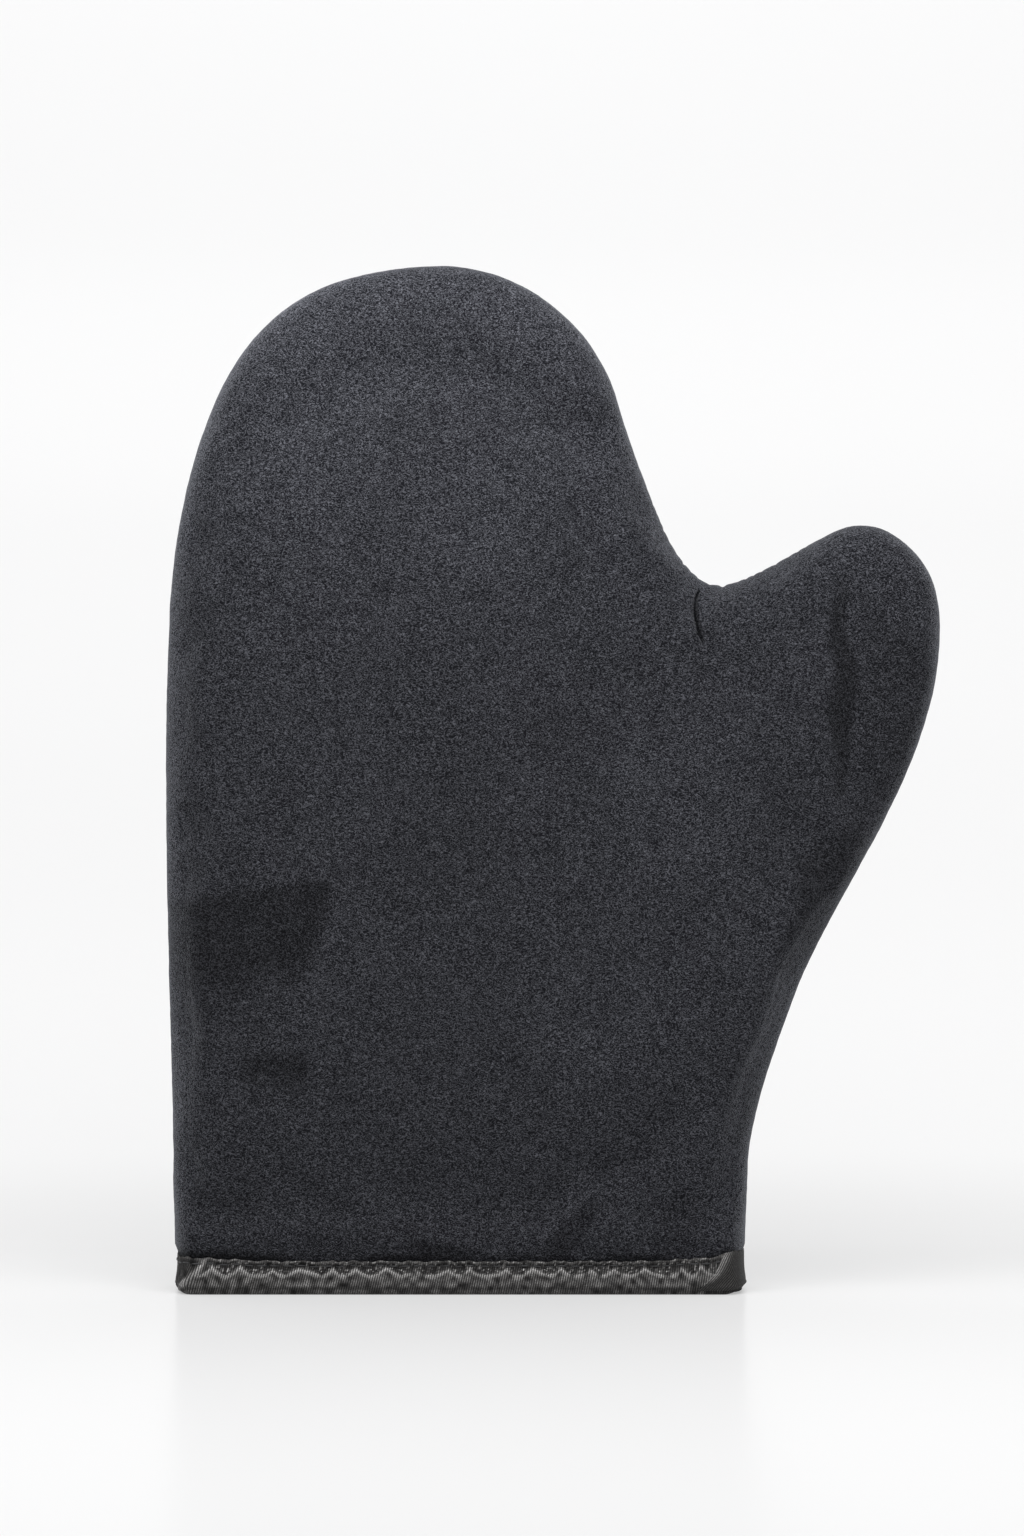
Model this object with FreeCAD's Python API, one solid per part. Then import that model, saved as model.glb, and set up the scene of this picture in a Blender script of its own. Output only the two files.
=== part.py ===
"""Velour applicator mitt: two laminated panels sewn together, turned, and bound at the cuff.

The mitt stands on its cuff. +Z is up to the fingertips, +X towards the thumb, and -Y is the front panel.
The origin is under the middle of the whole mitt, on the plane that it stands on. Units are millimetres.

Each panel is a laminate of four layers: face velour, foam, barrier film and lining. At the side seam every
layer turns inwards, so each has a flat lip along the middle plane: the seam allowance. The laminate is cut
along the thumb crease, so that the thumb can fold on a hinge there.
"""

import FreeCAD, Part

import functools
import math
import os

V = FreeCAD.Vector

# ---------------------------------------------------------------- driving dimensions
HEIGHT = 230.0  # cuff to fingertips
HALF_DEPTH = 13.5  # half of the mitt's thickness
EDGE_RADIUS = 11.0  # rounding of the panels towards the side seam

FACE = 0.9  # velour, with its pile
FOAM = 2.2
FILM = 0.3  # waterproof barrier
LINING = 0.5
LIP_FACE = 0.4  # the same layers where the seam presses them flat
LIP_FOAM = 0.8
LIP_FILM = 0.2
LIP_LINING = 0.4
ALLOWANCE = 4.0  # width of the turned-in seam allowance, past the wall

TAPE = 0.5  # binding tape's thickness
TAPE_WIDTH = 8.0  # how far the folded tape stands up from the cuff's edge
LAP_WIDTH = 6.5  # the tape's end, laid over its start at the thumb side of the front
LAP_WRAP = 4.0  # how far the lap goes round behind the side seam
LAP_LIFT = 0.6  # how far the lap stands off the outer leg
LAP_RISE = 0.4  # the lap's gap above the standing plane

THREAD = 0.3  # thread's thickness
THREAD_WIDTH = 0.5
SEAM_LINE = 0.6  # seam thread's place, past the wall
STITCH_HEIGHT = 6.2  # binding stitches' height above the cuff's edge

FOLD_TOP = (36.5, 158.4)  # the thumb crease runs from the fork of the mitt ...
FOLD_END = (56.0, 70.0)  # ... down to the wrist
FOLD_LIMIT = 50.0  # degrees that the thumb folds each way
FOLD_SPARE = 2.0  # extra half angle, so that the two sides never touch
FOLD_GAP = 0.4  # half of the gap on the hinge line itself

WALL = FACE + FOAM + FILM + LINING
CUFF_TOP = TAPE + TAPE_WIDTH  # where the binding ends
STRAIGHT = 9.0  # height of the cuff's straight sides, a little past the binding
CUFF_RIGHT = 42.5  # the cuff's side towards the thumb
CUFF_LEFT = -84.2
BELOW = 20.0  # how far the working solids run below the cuff
FAR = 300.0
TINY = 1e-6
NEARLY_STRAIGHT = 1e-4  # an arc that turns less than this many radians is drawn as a line

# Outline on the middle plane, anticlockwise from the top of the cuff's thumb side: x, z, heading in degrees.
OUTLINE = [
    (CUFF_RIGHT, STRAIGHT, 90),
    (44.3, 33.5, 80),
    (57.6, 74.0, 64),
    (75.5, 107.5, 63),
    (87.0, 146.0, 90),
    (69.0, 171.8, 180),
    (57.5, 167.4, 208),
    (44.0, 160.2, 203),
    (36.5, 158.4, 178),
    (20.5, 182.0, 109),
    (5.6, 215.8, 132),
    (-25.0, HEIGHT, 180),
    (-65.3, 215.8, 226),
    (-79.9, 188.8, 253),
    (-87.0, 118.0, 270),
    (-85.4, 36.0, 271.5),
    (CUFF_LEFT, STRAIGHT, 270),
]


# ---------------------------------------------------------------- outline
def heading(degrees):
    return V(math.cos(math.radians(degrees)), 0, math.sin(math.radians(degrees)))


def biarc_middle(p, t, q, u):
    """Where two arcs meet that leave p along t and reach q along u, and the heading there."""
    chord = q - p
    both = t + u
    bend = 2 * (1 - t.dot(u))
    if bend < TINY:
        reach = chord.dot(chord) / (4 * chord.dot(u))
    else:
        reach = (-chord.dot(both) + math.sqrt(chord.dot(both) ** 2 + bend * chord.dot(chord))) / bend
    middle = (p + q + (t - u) * reach) * 0.5
    step = (middle - p).normalize()
    return middle, step * (2 * t.dot(step)) - t


def outline_stations():
    """Points and headings along the outline, with each biarc's own middle put in."""
    ends = [(V(x, 0, z), heading(a)) for x, z, a in OUTLINE]
    stations = [ends[0]]
    for (p, t), (q, u) in zip(ends, ends[1:]):
        stations += [biarc_middle(p, t, q, u), (q, u)]
    return stations


STATIONS = outline_stations()


def inset_point(station, inset):
    point, way = station
    return point + V(-way.z, 0, way.x) * inset


def inset_edge(start, end, inset):
    """The arc between two stations, moved inwards, or a line where it hardly bends."""
    a, b = inset_point(start, inset), inset_point(end, inset)
    chord = b - a
    across = V(-chord.z, 0, chord.x)
    turn = math.atan2(start[1].dot(across), start[1].dot(chord))
    if abs(turn) < NEARLY_STRAIGHT:
        return Part.LineSegment(a, b).toShape()
    bulge = (a + b) * 0.5 + across * (0.5 * math.tan(turn / 2))
    return Part.Arc(a, bulge, b).toShape()


def outline_face(inset, y):
    """The mitt's outline moved inwards by inset, with straight sides down past the cuff."""
    first, last = inset_point(STATIONS[0], inset), inset_point(STATIONS[-1], inset)
    low_first, low_last = V(first.x, 0, -BELOW), V(last.x, 0, -BELOW)
    edges = [Part.LineSegment(low_first, first).toShape()]
    edges += [inset_edge(s, e, inset) for s, e in zip(STATIONS, STATIONS[1:])]
    edges += [Part.LineSegment(last, low_last).toShape(), Part.LineSegment(low_last, low_first).toShape()]
    face = Part.Face(Part.Wire(edges))
    face.translate(V(0, y, 0))
    return face


# ---------------------------------------------------------------- building blocks
@functools.cache
def mitt_form(inset):
    """The whole mitt as a solid with rounded sides, made smaller all round by inset."""
    half = HALF_DEPTH - inset
    block = outline_face(inset, -half).extrude(V(0, 2 * half, 0))
    rims = []
    for edge in block.Edges:
        box = edge.BoundBox
        flat = box.YLength < TINY
        bottom = box.ZMax < -BELOW + TINY
        if flat and not bottom:
            rims.append(edge)
    return block.makeFillet(EDGE_RADIUS - inset, rims)


def slab(y0, y1, z0):
    return Part.makeBox(2 * FAR, y1 - y0, FAR, V(-FAR, y0, z0))


def wall(outer_inset, inner_inset, y1):
    """The space between two of the mitt's nested forms, above the cuff and in front of y1."""
    room = slab(-FAR, y1, CUFF_TOP)
    return mitt_form(outer_inset).common(room).cut(mitt_form(inner_inset).common(room))


def cuff_block(inset, z0, z1):
    """The cuff's straight part as a solid: a flat prism with rounded ends."""
    half = HALF_DEPTH - inset
    left, right = CUFF_LEFT + inset, CUFF_RIGHT - inset
    block = Part.makeBox(right - left, 2 * half, z1 - z0, V(left, -half, z0))
    uprights = [edge for edge in block.Edges if edge.BoundBox.ZLength > TINY]
    return block.makeFillet(EDGE_RADIUS - inset, uprights)


def ring(outer_inset, inner_inset, z0, z1):
    """The space between two nested cuff blocks."""
    return cuff_block(outer_inset, z0, z1).cut(cuff_block(inner_inset, z0, z1))


def lip(inset, y0, y1):
    """A layer's turned-in edge: a flat strip along the side seam, from inset to the allowance's edge."""
    outer = outline_face(inset, y0).extrude(V(0, y1 - y0, 0))
    inner = outline_face(WALL + ALLOWANCE, y0).extrude(V(0, y1 - y0, 0))
    return outer.cut(inner).common(slab(y0, y1, CUFF_TOP))


def side_of_fold(shape, thumb):
    """What lies on the hand's side of the thumb crease, or on the thumb's, with a mitred gap between."""
    top, end = V(FOLD_TOP[0], 0, FOLD_TOP[1]), V(FOLD_END[0], 0, FOLD_END[1])
    along = (end - top).normalize()
    across = V(-along.z, 0, along.x)
    if not thumb:
        across = across * -1
    slope = math.tan(math.radians(FOLD_LIMIT / 2 + FOLD_SPARE))
    depth = 2 * HALF_DEPTH
    start = top - along * FAR
    corners = [
        across * FOLD_GAP,
        across * (FOLD_GAP + depth * slope) + V(0, depth, 0),
        across * FAR + V(0, depth, 0),
        across * FAR - V(0, depth, 0),
        across * (FOLD_GAP + depth * slope) - V(0, depth, 0),
    ]
    loop = [start + c for c in corners + corners[:1]]
    keep = Part.Face(Part.makePolygon(loop)).extrude(along * 2 * FAR)
    return shape.common(keep)


def joined(shapes):
    return shapes[0].fuse(shapes[1:]).removeSplitter()


# ---------------------------------------------------------------- layers
def layer(outer_inset, thickness, lip_from, lip_thickness):
    """The front half of one layer, from the cuff's edge to the fingertips, with its turned-in lip."""
    inner_inset = outer_inset + thickness
    cuff = ring(outer_inset, inner_inset, TAPE, CUFF_TOP).common(slab(-FAR, 0, 0))
    body = wall(outer_inset, inner_inset, -lip_from)
    return joined([cuff, body, lip(outer_inset, -lip_from - lip_thickness, -lip_from)])


def laminate():
    """Front halves of the four layers, from the outside in."""
    return {
        "face": layer(0, FACE, 0, LIP_FACE),
        "foam": layer(FACE, FOAM, LIP_FACE, LIP_FOAM),
        "barrier_film": layer(FACE + FOAM, FILM, LIP_FACE + LIP_FOAM, LIP_FILM),
        "lining": layer(FACE + FOAM + FILM, LINING, LIP_FACE + LIP_FOAM + LIP_FILM, LIP_LINING),
    }


def mirrored(shape):
    return shape.mirror(V(0, 0, 0), V(0, 1, 0))


# ---------------------------------------------------------------- side seam
def seam_thread():
    """The thread that runs along the front of the seam allowance, as one flat line."""
    stack = LIP_FACE + LIP_FOAM + LIP_FILM + LIP_LINING
    near, far = WALL + SEAM_LINE, WALL + SEAM_LINE + THREAD_WIDTH
    y = -stack - THREAD
    line = outline_face(near, y).extrude(V(0, THREAD, 0)).cut(outline_face(far, y).extrude(V(0, THREAD, 0)))
    return line.common(slab(y, y + THREAD, CUFF_TOP))


# ---------------------------------------------------------------- cuff binding
def binding_tape():
    """One folded tape: outer leg, the turn that the mitt stands on, and inner leg."""
    return ring(-TAPE, WALL + TAPE, 0, CUFF_TOP).cut(ring(0, WALL, TAPE, CUFF_TOP))


def binding_lap():
    """The tape's end, lying over its start at the thumb side of the front."""
    wrap = ring(-TAPE - LAP_LIFT, -TAPE, LAP_RISE, CUFF_TOP - LAP_RISE)
    return wrap.common(Part.makeBox(FAR, FAR, FAR, V(CUFF_RIGHT - LAP_WIDTH, LAP_WRAP - FAR, -BELOW)))


def binding_thread(inside):
    """One line of stitching round the cuff: on the tape's outer leg, or on its inner leg."""
    top = STITCH_HEIGHT + THREAD_WIDTH
    if inside:
        return ring(WALL + TAPE, WALL + TAPE + THREAD, STITCH_HEIGHT, top)
    return ring(-TAPE - THREAD, -TAPE, STITCH_HEIGHT, top).cut(binding_lap())


# ---------------------------------------------------------------- output
def save(name, shape):
    solids = shape.Solids
    good = all(s.isValid() and s.isClosed() and s.Volume > 0 for s in solids) and bool(solids)
    part = solids[0] if len(solids) == 1 else Part.makeCompound(solids)
    part.exportStep(os.path.join("parts", name + ".step"))
    box = part.BoundBox
    extent = f"x {box.XMin:6.1f} {box.XMax:6.1f}  y {box.YMin:6.1f} {box.YMax:6.1f}  z {box.ZMin:6.1f} {box.ZMax:6.1f}"
    print(f"{name:28s} solids {len(solids)}  volume {part.Volume:9.1f} mm3  {extent}  {'ok' if good else 'BAD'}")


def main():
    os.makedirs("parts", exist_ok=True)
    pieces = laminate()
    pieces["seam_thread"] = seam_thread()
    for name, front in pieces.items():
        for side, shape in (("front", front), ("back", mirrored(front))):
            save(f"{name}_{side}", side_of_fold(shape, thumb=False))
            save(f"thumb_{name}_{side}", side_of_fold(shape, thumb=True))
    save("binding_tape", binding_tape())
    save("binding_lap", binding_lap())
    save("binding_thread_outer", binding_thread(inside=False))
    save("binding_thread_inner", binding_thread(inside=True))


main()
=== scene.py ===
"""Velour applicator mitt that stands on its bound cuff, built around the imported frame.

Lengths are in metres. +Z is up to the fingertips, +X towards the thumb, and -Y is the front panel. Plan
positions, seen from the front, are complex numbers x + 1j * z. Each panel is a laminate of velour, foam,
barrier film and lining, which turn inwards together along the side seam.
"""

import cmath
import math

import bpy
import numpy as np
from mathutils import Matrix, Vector, geometry, kdtree, noise


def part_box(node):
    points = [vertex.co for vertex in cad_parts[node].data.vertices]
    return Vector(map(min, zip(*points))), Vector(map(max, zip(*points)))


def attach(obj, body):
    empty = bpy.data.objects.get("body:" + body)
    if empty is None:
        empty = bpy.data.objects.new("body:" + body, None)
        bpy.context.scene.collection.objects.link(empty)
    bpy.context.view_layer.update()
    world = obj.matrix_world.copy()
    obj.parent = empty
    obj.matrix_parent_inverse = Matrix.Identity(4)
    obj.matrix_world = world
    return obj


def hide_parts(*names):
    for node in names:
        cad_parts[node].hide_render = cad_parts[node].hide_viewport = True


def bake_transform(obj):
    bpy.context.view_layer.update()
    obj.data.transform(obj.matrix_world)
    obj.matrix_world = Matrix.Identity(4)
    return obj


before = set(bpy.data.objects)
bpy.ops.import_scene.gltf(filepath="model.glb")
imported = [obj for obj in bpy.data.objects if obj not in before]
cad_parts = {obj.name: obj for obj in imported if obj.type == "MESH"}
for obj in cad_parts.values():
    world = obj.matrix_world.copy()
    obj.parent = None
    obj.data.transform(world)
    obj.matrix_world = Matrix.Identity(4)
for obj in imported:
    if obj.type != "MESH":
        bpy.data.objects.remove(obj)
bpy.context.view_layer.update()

# ---------------- driving dimensions
MM = 0.001
TINY = 1e-9

TAPE_LOW, TAPE_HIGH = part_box("binding_tape")
FACE_LOW, FACE_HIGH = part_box("face_front")
HALF_DEPTH = -FACE_LOW.y
CUFF_LEFT = TAPE_LOW.x + 0.5 * MM  # the laminate's side inside the tape
CUFF_RIGHT = TAPE_HIGH.x - 0.5 * MM
CUFF_EDGE = FACE_LOW.z  # the laminate's cut edge, inside the folded tape
TAPE_TOP = TAPE_HIGH.z
STRAIGHT = 9 * MM  # the cuff's sides are straight up to here

# Outline on the middle plane, anticlockwise from the cuff's thumb side: x and z in mm, heading in degrees.
OUTLINE = [
    (CUFF_RIGHT / MM, STRAIGHT / MM, 90),
    (44.4, 33.5, 80),
    (50.3, 55.0, 70),
    (57.7, 74.0, 64),
    (75.5, 107.5, 63),
    (87.0, 149.0, 90),
    (82.7, 164.0, 127),
    (69.0, 171.8, 180),
    (57.5, 167.4, 208),
    (44.0, 160.2, 203),
    (36.4, 158.4, 176),
    (30.4, 162.2, 131),
    (20.5, 182.0, 111),
    (5.6, 215.8, 132),
    (-25.0, 230.0, 180),
    (-65.3, 215.8, 226),
    (-79.9, 188.8, 253),
    (-87.0, 118.0, 270),
    (-85.4, 36.0, 271.5),
    (CUFF_LEFT / MM, STRAIGHT / MM, 270),
]

FOLD_TOP = 36.5 * MM + 158.4j * MM  # the thumb crease runs from the fork ...

# Each layer: its slot, its name in the CAD, outer and inner offset from the mitt's surface, and where its
# turned-in lip lies.
LAYERS = [
    ("velour", "face", 0.0, 0.9 * MM, 0.02 * MM, 0.4 * MM),
    ("foam", "foam", 0.9 * MM, 3.1 * MM, 0.4 * MM, 1.2 * MM),
    ("barrier_film", "barrier_film", 3.1 * MM, 3.4 * MM, 1.2 * MM, 1.4 * MM),
    ("lining", "lining", 3.4 * MM, 3.9 * MM, 1.4 * MM, 1.8 * MM),
]
WALL = 3.9 * MM
ALLOWANCE = 4 * MM

ROLL = 12.5 * MM  # width of the rolled edge, in plan
THUMB_ROLL = 9 * MM
CUFF_ROLL = (4.4 * MM, 6.4 * MM)  # the corner at the tape's lower and upper edge
ROUNDNESS = 2.5  # exponent of the rolled edge's section
CROWN = 0.9 * MM  # how much the panel swells in its middle

VELOUR_STEP = 1.5 * MM  # mesh steps of the velour, of the velour beside its crease, and of the layers below
CREASE_STEP = 0.14 * MM
HIDDEN_STEP = 3.0 * MM


def smooth(value, low, high):
    """0 below low, 1 above high, and a smooth step between; low may be the larger."""
    t = np.clip((value - low) / (high - low), 0, 1)
    return t * t * (3 - 2 * t)


def smooth_mm(value, low, high):
    return smooth(value, low * MM, high * MM)


def bell(value, width):
    """1 where the value is 0, falling away smoothly to both sides."""
    return np.exp(-((value / width) ** 2))


def bell_mm(value, width):
    return bell(value, width * MM)


def dot(a, b):
    return (np.conj(a) * b).real


def add_object(name, data):
    made = bpy.data.objects.new(name, data)
    bpy.context.scene.collection.objects.link(made)
    return made


# ---------------- camera and stage
FOCUS = Vector((-9.2 * MM, 0, 117.2 * MM))
CAMERA_DISTANCE = 1.2
VIEW_HEIGHT = 345.6 * MM  # what the frame takes in at the middle plane
SENSOR = 36.0
WORLD_STRENGTH = 0.26

# Each area light: its name, place, target, width, height and power.
LIGHTS = [
    ("overhead_softbox", (-0.03, -0.40, 0.68), (-0.01, 0, 0.14), 0.9, 0.35, 5.0),
    ("front_fill", (0.35, -1.6, 0.35), (0, 0, 0.1), 0.9, 0.9, 2.0),
    ("backdrop_light", (0, -0.20, 1.15), (0, 0.42, 0.40), 1.4, 0.4, 2.7),
]


def add_camera():
    data = bpy.data.cameras.new("camera")
    data.sensor_width = SENSOR
    data.lens = SENSOR * CAMERA_DISTANCE / VIEW_HEIGHT
    camera = add_object("camera", data)
    camera.location = FOCUS - Vector((0, CAMERA_DISTANCE, 0))
    camera.rotation_euler = (math.radians(90), 0, 0)
    bpy.context.scene.camera = camera


def add_lights():
    for name, place, target, width, height, power in LIGHTS:
        data = bpy.data.lights.new(name, "AREA")
        data.shape = "RECTANGLE"
        data.size, data.size_y = width, height
        data.energy = power
        light = add_object(name, data)
        light.location = place
        light.rotation_euler = (Vector(target) - Vector(place)).to_track_quat("-Z", "Y").to_euler()
    world = bpy.data.worlds.new("studio")
    world.use_nodes = True
    background = world.node_tree.nodes["Background"]
    background.inputs["Color"].default_value = (1, 1, 1, 1)
    background.inputs["Strength"].default_value = WORLD_STRENGTH
    bpy.context.scene.world = world
    bpy.context.scene.view_settings.view_transform = "Standard"


# ---------------- outline
def biarc_middle(p, t, q, u):
    """Where two arcs meet that leave p along t and reach q along u."""
    chord = q - p
    bend = 2 * (1 - dot(t, u))
    if bend < TINY:
        reach = abs(chord) ** 2 / (4 * dot(chord, u))
    else:
        both = dot(chord, t + u)
        reach = (-both + math.sqrt(both**2 + bend * abs(chord) ** 2)) / bend
    return (p + q + (t - u) * reach) / 2


def arc(p, t, q, step):
    """Points and headings after p, along the arc that leaves p along t and ends at q."""
    chord = q - p
    half = cmath.phase(chord / t)
    straight = abs(half) < TINY
    length = abs(chord) * (1 if straight else half / math.sin(half))
    share = np.arange(1, 1 + max(1, round(length / step))) / max(1, round(length / step))
    reach = share if straight else np.sin(half * share) / math.sin(half)
    return p + t * np.exp(1j * half * share) * abs(chord) * reach, t * np.exp(2j * half * share)


def outline(step, fork_step=None):
    """Points round the mitt from the cuff's thumb side, and the way inwards at each; closer at the fork."""
    ends = [((x + 1j * z) * MM, cmath.exp(1j * math.radians(a))) for x, z, a in OUTLINE]
    start, finish = CUFF_RIGHT + 1j * CUFF_EDGE, CUFF_LEFT + 1j * CUFF_EDGE
    runs = [(np.array([start]), np.array([1j])), arc(start, 1j, ends[0][0], step)]
    for (p, t), (q, u) in zip(ends, ends[1:]):
        middle = biarc_middle(p, t, q, u)
        at_fork = fork_step and min(abs(p - FOLD_TOP), abs(q - FOLD_TOP)) < 11 * MM
        size = fork_step if at_fork else step
        first = arc(p, t, middle, size)
        runs += [first, arc(middle, first[1][-1], q, size)]
    runs.append(arc(ends[-1][0], -1j, finish, step))
    points = np.concatenate([points for points, _ in runs])
    headings = np.concatenate([headings for _, headings in runs])
    return points, 1j * headings


# ---------------- the mitt's surface
def cuff_share(z):
    """1 at the cuff and 0 on the hand above it."""
    return smooth_mm(z, 34, 9)


def roll_width(plan):
    """Width of the rolled edge beside this place on the outline."""
    roll = ROLL + (THUMB_ROLL - ROLL) * smooth_mm(plan.real, 42, 66) * smooth_mm(plan.imag, 70, 100)
    low, high = CUFF_ROLL
    at_cuff = low + (high - low) * np.clip(plan.imag / TAPE_TOP, 0, 1)
    return roll + (at_cuff - roll) * cuff_share(plan.imag)


def half_depth(plan):
    """Half of the mitt's thickness at a place; the thumb and fingertips are a little thinner."""
    thumb = smooth_mm(plan.real, 38, 78) * smooth_mm(plan.imag, 60, 110)
    tips = smooth_mm(plan.imag, 120, 230)
    return HALF_DEPTH * (1 - 0.16 * thumb - 0.10 * tips)


class Skin:
    """The front panel's surface as a mesh in plan, before creases; its points serve both sides."""

    def __init__(self, step, crease_step=None):
        edge, inward = outline(step, crease_step)
        roll = roll_width(edge)
        count = len(edge)
        rows = max(6, round(ROLL * (3.3 if crease_step else 1.75) / step))
        turn = np.linspace(0, math.pi / 2, rows + 1)
        across = 1 - np.cos(turn) ** (2 / ROUNDNESS)
        rise = np.sin(turn) ** (2 / ROUNDNESS)
        ring = edge + inward * roll * across[:, None]
        last = ring[-1]
        gap = last[0].real - last[-1].real
        bottom = np.linspace(last[-1], last[0], round(gap / step) + 1)[1:-1]
        loop = np.concatenate([last, bottom])
        inner = self.inner_points(step, edge, inward, roll)
        if crease_step:
            fine = crease_points(crease_step)
            away = np.abs(fine[:, None] - edge[None, :])
            fine = fine[away.min(1) > roll[away.argmin(1)] + crease_step]
            gap = np.abs(inner[:, None] - fine[None, ::3]).min(1)
            inner = np.concatenate([inner[gap > 0.75 * step], fine])
        flat = np.concatenate([loop, inner])
        ties = [(i, (i + 1) % len(loop)) for i in range(len(loop))]
        found = geometry.delaunay_2d_cdt([Vector((p.real, p.imag)) for p in flat], ties, [], 1, 1e-9)
        source = [old[0] for old in found[3]]
        first_flat = rows * count
        self.fine = crease_step is not None
        self.plan = np.concatenate([ring[:-1].ravel(), flat])
        self.faces = [tuple(first_flat + source[v] for v in face) for face in found[2]]
        index = np.arange((rows + 1) * count).reshape(rows + 1, count)
        for a, b in zip(index, index[1:]):
            self.faces += [(a[i], a[i + 1], b[i + 1], b[i]) for i in range(count - 1)]
        self.seam = index[0]
        self.cuff = list(index[1:, 0]) + [first_flat + count + k for k in reversed(range(len(bottom)))]
        self.cuff += list(index[:0:-1, -1])
        away = self.plan[:, None] - edge[None, :]
        nearest = np.abs(away).argmin(1)
        self.from_edge = np.abs(away[np.arange(len(self.plan)), nearest])
        self.inward = inward[nearest]
        steps = np.concatenate([[0], np.cumsum(np.abs(np.diff(edge)))])
        self.along = steps[nearest]
        full = half_depth(self.plan)
        share = np.ones(len(self.plan))
        share[:first_flat] = np.repeat(rise[:-1], count)
        share[index[0]] = 0
        past_roll = self.from_edge - roll[nearest]
        self.depth = full * share + CROWN * smooth_mm(past_roll, 0, 45) * smooth_mm(self.plan.imag, 5, 60)
        self.turn_share = share
        self.normal = self.outward_normals()

    @staticmethod
    def inner_points(step, edge, inward, roll):
        """A grid of staggered rows over the part of the panel inside its rolled edge."""
        row = step * math.sqrt(3) / 2
        zs = np.arange(CUFF_EDGE + row, FACE_HIGH.z, row)
        xs = np.arange(edge.real.min(), edge.real.max(), step)
        grid = np.array([x + 0.5 * step * (k % 2) + 1j * z for k, z in enumerate(zs) for x in xs])
        away = grid[:, None] - edge[None, ::2]
        nearest = np.abs(away).argmin(1) * 2
        offset = grid - edge[nearest]
        inside = dot(inward[nearest], offset) > 0
        return grid[inside & (np.abs(offset) > roll[nearest] + 0.6 * step)]

    def points(self):
        return np.stack([self.plan.real, -self.depth, self.plan.imag], 1)

    def outward_normals(self):
        points = self.points()
        normal = np.zeros_like(points)
        for size in (3, 4):
            faces = np.array([face for face in self.faces if len(face) == size])
            corners = points[faces]
            area = np.cross(corners[:, 1] - corners[:, 0], corners[:, -1] - corners[:, 0])
            for k in range(size):
                np.add.at(normal, faces[:, k], area)
        level = self.plan.imag < STRAIGHT
        normal[level, 2] = 0
        out = -self.inward[self.seam]
        normal[self.seam] = np.stack([out.real, np.zeros(len(out)), out.imag], 1)
        return normal / np.linalg.norm(normal, axis=1)[:, None]


# ---------------- creases, waves and the seam's groove
GROOVE = 0.7 * MM  # how deep the panels dive into the side seam
GROOVE_WIDTH = 1.3 * MM
STITCH_PITCH = 2.6 * MM

# The pinch under the fork, in millimetres.
CREASE = [33.0 + 157.6j, 31.0 + 153.5j, 31.6 + 148.5j, 33.8 + 144.2j]
CREASE_DEPTH = 2.6 * MM
CREASE_WIDTH = 0.36 * MM
CURVE_SAMPLES = 60


def bezier(control, share):
    """Points on the cubic Bezier curve with these four control points, given in millimetres."""
    a, b, c, d = (np.asarray(p) * MM for p in control)
    rest = 1 - share
    return a * rest**3 + 3 * b * rest**2 * share + 3 * c * rest * share**2 + d * share**3


def crease_points(step):
    """Rows of points close beside the crease, so that its fold is sharp."""
    line = bezier(CREASE, np.linspace(0.0, 1.3, round(18 * MM / step)))
    way = np.gradient(line)
    way = 1j * way / np.abs(way)
    offsets = np.array([-2.4, -1.5, -0.9, -0.55, -0.35, -0.15, 0.15, 0.35, 0.55, 0.9, 1.5, 2.4]) * MM
    return (line[:, None] + way[:, None] * offsets[None, :]).ravel()


def beside_curve(plan, control):
    """Distance from a curve, and how far along it from 0 to 1 the nearest point is."""
    share = np.linspace(0, 1, CURVE_SAMPLES)
    away = np.abs(plan[:, None] - bezier(control, share)[None, :])
    nearest = away.argmin(1)
    return away[np.arange(len(plan)), nearest], share[nearest]


def bumps(plan, size, seed):
    """Smooth random hills from about -1 to 1, this far apart."""
    return np.array([noise.noise(Vector((p.real / size, seed, p.imag / size))) for p in plan])


def waves(skin, side):
    """How far the panel stands out, beyond its even shape, from the way the cloth lies."""
    plan = skin.plan
    x, z = plan.real / MM, plan.imag / MM
    flat = smooth_mm(skin.from_edge, 1, 12)
    above_cuff = smooth(z, 8, 30)
    out = 0.55 * bumps(plan, 42 * MM, 3.1 + side) * flat * above_cuff
    out += 0.22 * bumps(plan, 15 * MM, 8.7 + side) * flat * above_cuff
    # soft ripples that spread from the fork
    arm = plan - FOLD_TOP
    near = bell_mm(np.abs(arm), 34) * smooth_mm(np.abs(arm), 2, 12)
    out += 0.38 * np.cos(np.angle(arm) * 7 + 0.6 * side) * near
    # the thumb's soft upright fold
    fold = 64.4 + 1.4 * np.sin((z - 110) / 22)
    along = smooth(z, 104, 124) * smooth(z, 164, 150)
    out -= 0.85 * bell(x - fold, 3.4) * along
    out += 0.45 * bell(x - fold + 8, 5.0) * along
    # the panel swells over the binding that draws it in
    out += 0.9 * bell(z - 13.5, 4.2) * (1 - smooth(z, 11, 8.5))
    out *= MM
    depth, share = beside_curve(plan, CREASE)
    pinch = smooth(share, 0.02, 0.15) * smooth(share, 1.0, 0.75) * (1 if side == 0 else 0.6)
    out *= smooth(skin.turn_share, 0.15, 0.9)
    if skin.fine:
        out -= CREASE_DEPTH * np.exp(-((depth / CREASE_WIDTH) ** 4)) * pinch
    else:  # the layers below the velour only make room for the crease
        out -= 1.35 * CREASE_DEPTH * bell_mm(np.maximum(depth - 3.4 * MM, 0), 1.6)
    out += 0.45 * MM * bell_mm(depth - 2.6 * MM, 1.8) * pinch
    return out


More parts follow.
